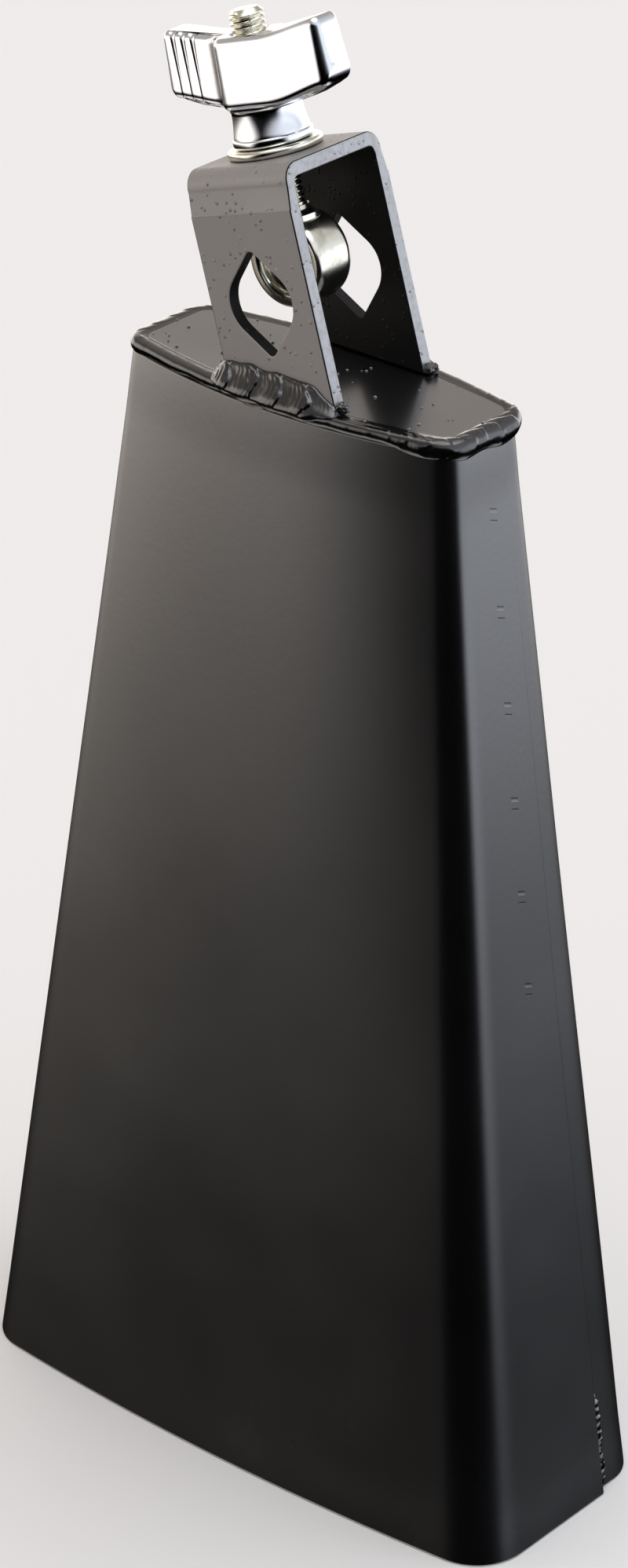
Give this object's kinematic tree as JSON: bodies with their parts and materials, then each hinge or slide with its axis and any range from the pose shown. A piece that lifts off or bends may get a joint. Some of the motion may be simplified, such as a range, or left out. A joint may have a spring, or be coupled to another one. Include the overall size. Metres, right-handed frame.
{
  "type": "cowbell",
  "caption": "Tapered steel hand percussion bell with flat oval mouth, and a leaning clamp bracket with eye bolt and wing nut.",
  "frame": {"origin": "middle of the mouth, on the plane of its rim", "axes": "+X along the mouth's long side, -Y out of the playing face, +Z from the mouth to the clamp"},
  "size_m": [0.1206, 0.053, 0.2658],
  "materials": {
    "black_coat": "satin black powder coat on steel",
    "coated_weld": "black coat over rippled weld",
    "zinc_plate": "bright zinc-nickel plate, slightly yellow",
    "chrome_plate": "polished chrome on a die casting"
  },
  "bodies": {
    "bell": {"front_shell": "black_coat", "rear_shell": "black_coat", "top_cap": "black_coat", "mount_bracket": "black_coat", "cap_weld": "coated_weld", "seam_weld_right": "coated_weld", "seam_weld_left": "coated_weld", "bracket_weld_front": "coated_weld", "bracket_weld_rear": "coated_weld", "bracket_tack_front": "coated_weld", "bracket_tack_rear": "coated_weld"},
    "eye_bolt": {"eye_bolt": "zinc_plate"},
    "washer": {"washer": "zinc_plate"},
    "wing_nut": {"wing_nut": "chrome_plate"}
  },
  "joints": [
    {"name": "wing_nut_spin", "type": "hinge", "parent": "bell", "child": "wing_nut", "pos_m": [-0.01046, 0, 0.23946], "axis": [-0.299, 0, 0.9542], "range_deg": [-2520, 3960]},
    {"name": "eye_bolt_travel", "type": "slide", "parent": "bell", "child": "eye_bolt", "axis": [-0.299, 0, 0.9542], "range_m": [-0.01101, 0.00701]},
    {"name": "washer_spin", "type": "hinge", "parent": "bell", "child": "washer", "pos_m": [-0.01046, 0, 0.23946], "axis": [-0.299, 0, 0.9542], "continuous": true}
  ],
  "couplings": [
    {"joint": "eye_bolt_travel", "follows": "wing_nut_spin", "m_per_rad": -0.00015915}
  ]
}
